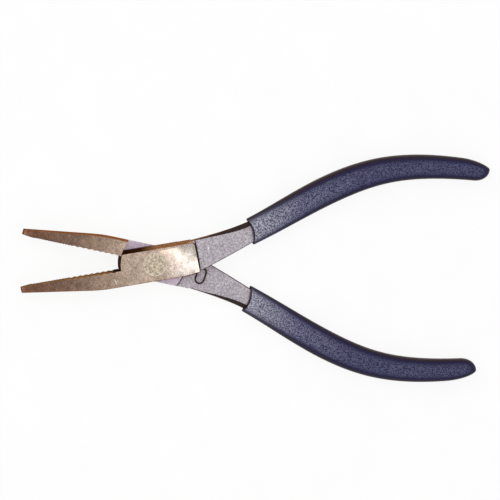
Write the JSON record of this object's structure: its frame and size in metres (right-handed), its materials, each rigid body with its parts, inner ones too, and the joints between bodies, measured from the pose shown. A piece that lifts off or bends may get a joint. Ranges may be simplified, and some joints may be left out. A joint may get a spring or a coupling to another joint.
{
  "type": "assembly pliers",
  "caption": "Slim-jaw assembly pliers with a riveted lap joint, serrated gripping faces and dipped plastic grips.",
  "frame": {"origin": "pivot axis of the joint, at the plane of the rear boss and of the rivet's rear face, on which the pliers lie", "axes": "+X from the pivot towards the handles, jaws towards -X; +Z along the pivot axis, up through the front boss; +Y towards the rear lever's jaw and the front lever's handle"},
  "size_m": [0.193, 0.0942, 0.0094],
  "materials": {
    "tool_steel": "ground jaws and joint, blasted shanks, lightly oiled",
    "rivet_steel": "ground flush",
    "dipped_plastic": "dark blue dip coat with a fine grain"
  },
  "bodies": {
    "front_half": {"front_lever": "tool_steel", "front_grip": "dipped_plastic", "joint_rivet": "rivet_steel"},
    "rear_half": {"rear_lever": "tool_steel", "rear_grip": "dipped_plastic"}
  },
  "joints": [
    {"name": "jaw_pivot", "type": "hinge", "parent": "front_half", "child": "rear_half", "pos_m": [0, 0, 0.0047], "axis": [0, 0, -1], "range_deg": [-21.6, 15]}
  ]
}
